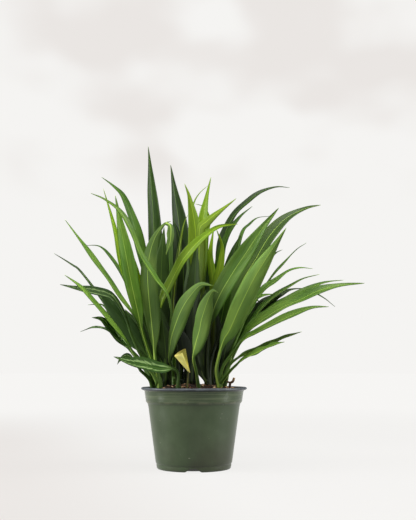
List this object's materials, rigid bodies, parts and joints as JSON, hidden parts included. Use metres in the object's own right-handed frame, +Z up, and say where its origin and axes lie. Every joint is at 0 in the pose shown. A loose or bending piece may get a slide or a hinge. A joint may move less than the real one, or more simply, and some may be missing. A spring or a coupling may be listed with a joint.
{
  "type": "potted chinese evergreen",
  "caption": "Bushy narrow-leaved Chinese evergreen, green, lime and silver-patterned, in a green plastic nursery pot.",
  "frame": {"origin": "centre of the pot's flat underside, on the surface it stands on", "axes": "+Z up, -Y towards the side seen from the front, +X to the right seen from the front"},
  "size_m": [0.473, 0.3618, 0.517],
  "materials": {
    "pot_plastic": "semi-gloss forest green",
    "potting_mix": "damp peat and bark",
    "leaf_green": "satin leaf",
    "leaf_dark": "satin leaf",
    "leaf_young": "satin young leaf",
    "leaf_patterned": "satin leaf with silver feathering",
    "leaf_withered": "dry leaf",
    "dry_stem": "dry stem"
  },
  "bodies": {
    "root": {"pot": "pot_plastic", "soil": "potting_mix", "withered_leaf": "leaf_withered", "dry_stub": "dry_stem", "shoot_left_patterned": "leaf_patterned", "shoot_left_front": "leaf_green", "shoot_left_back": "leaf_dark", "shoot_left_young": "leaf_young", "shoot_low_patterned": "leaf_patterned", "shoot_middle_front": "leaf_green", "shoot_middle_young": "leaf_young", "shoot_arching_young": "leaf_young", "shoot_middle_back": "leaf_dark", "shoot_right_front": "leaf_green", "shoot_right_middle": "leaf_green", "shoot_right_front_tall": "leaf_green", "shoot_right_outer": "leaf_green", "shoot_right_back": "leaf_dark", "shoot_pale_young": "leaf_young", "shoot_inner_left": "leaf_dark", "shoot_inner_middle": "leaf_dark", "shoot_inner_right": "leaf_dark", "shoot_rear_left": "leaf_green", "shoot_rear_middle": "leaf_green", "shoot_rear_right": "leaf_green"}
  },
  "joints": []
}
